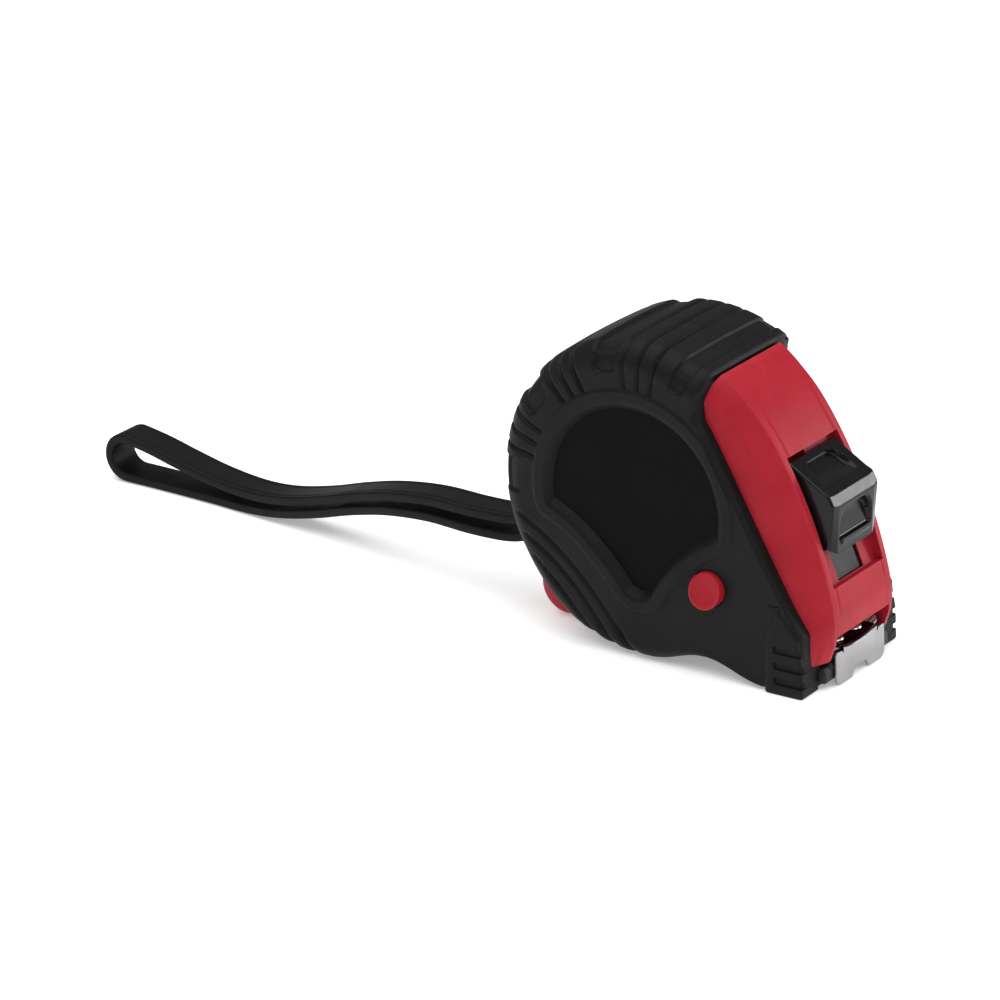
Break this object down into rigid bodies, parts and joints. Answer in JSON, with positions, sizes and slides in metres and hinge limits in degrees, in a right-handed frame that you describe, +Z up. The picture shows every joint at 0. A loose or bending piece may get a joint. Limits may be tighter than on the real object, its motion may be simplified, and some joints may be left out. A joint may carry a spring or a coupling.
{
  "type": "tape measure",
  "caption": "Pocket tape measure with rubber grip, front thumb lock, side brake button, rear brake trigger, end hook, belt clip and moulded wrist strap.",
  "frame": {"origin": "on the surface that the measure stands on, in the middle of the box of the measure without its strap", "axes": "+X the way the blade runs out, +Y the left side, +Z up"},
  "size_m": [0.2033, 0.0402, 0.068],
  "materials": {
    "red_plastic": "satin moulded",
    "black_rubber": "matt overmould",
    "strap_rubber": "matt moulded",
    "label_black": "satin film",
    "gloss_black": "glossy moulded",
    "black_plastic": "satin moulded",
    "grey_plastic": "moulded",
    "white_blade": "lacquered spring steel",
    "chrome_steel": "bright nickel plate",
    "spring_steel": "blued",
    "zinc_steel": "zinc plated"
  },
  "bodies": {
    "case": {"case_right": "red_plastic", "case_left": "red_plastic", "grip_right": "black_rubber", "grip_left": "black_rubber", "label_right": "label_black", "label_left": "label_black", "blade_guide": "black_plastic", "centre_post": "zinc_steel", "brake_pin": "zinc_steel", "brake_spring": "spring_steel", "case_screw_1": "zinc_steel", "case_screw_2": "zinc_steel", "case_screw_3": "zinc_steel", "belt_clip": "zinc_steel", "clip_screw": "zinc_steel", "strap_lug": "black_rubber", "strap_pin": "zinc_steel", "wrist_strap": "strap_rubber"},
    "drum": {"spring_drum": "grey_plastic", "drum_cover": "grey_plastic", "power_spring": "spring_steel", "blade_coil": "white_blade"},
    "blade": {"blade_front": "white_blade", "hook_rivet_right": "chrome_steel", "hook_rivet_left": "chrome_steel"},
    "hook": {"end_hook": "chrome_steel"},
    "lock": {"thumb_lock": "gloss_black", "lock_tongue": "black_plastic"},
    "button": {"side_button": "red_plastic"},
    "brake": {"bottom_brake": "red_plastic"}
  },
  "joints": [
    {"name": "blade_slide", "type": "slide", "parent": "case", "child": "blade", "axis": [1, 0, 0], "range_m": [0, 0.025], "stiffness_N_per_m": 20, "springref_m": -0.05},
    {"name": "drum_spin", "type": "hinge", "parent": "case", "child": "drum", "pos_m": [-0.00475, 0, 0.034], "axis": [0, 1, 0], "range_deg": [-57, 0]},
    {"name": "hook_slide", "type": "slide", "parent": "blade", "child": "hook", "axis": [1, 0, 0], "range_m": [0, 0.001]},
    {"name": "lock_slide", "type": "slide", "parent": "case", "child": "lock", "axis": [0.3682, 0, -0.9298], "range_m": [0, 0.005]},
    {"name": "button_press", "type": "slide", "parent": "case", "child": "button", "axis": [0, 1, 0], "range_m": [0, 0.0014], "stiffness_N_per_m": 600, "springref_m": -0.0005},
    {"name": "brake_press", "type": "hinge", "parent": "case", "child": "brake", "pos_m": [-0.01581, 0, 0.00915], "axis": [0, 1, 0], "range_deg": [0, 3.5], "stiffness_Nm_per_rad": 0.1, "springref_deg": -2.86}
  ],
  "couplings": [
    {"joint": "drum_spin", "follows": "blade_slide", "rad_per_m": -39}
  ]
}
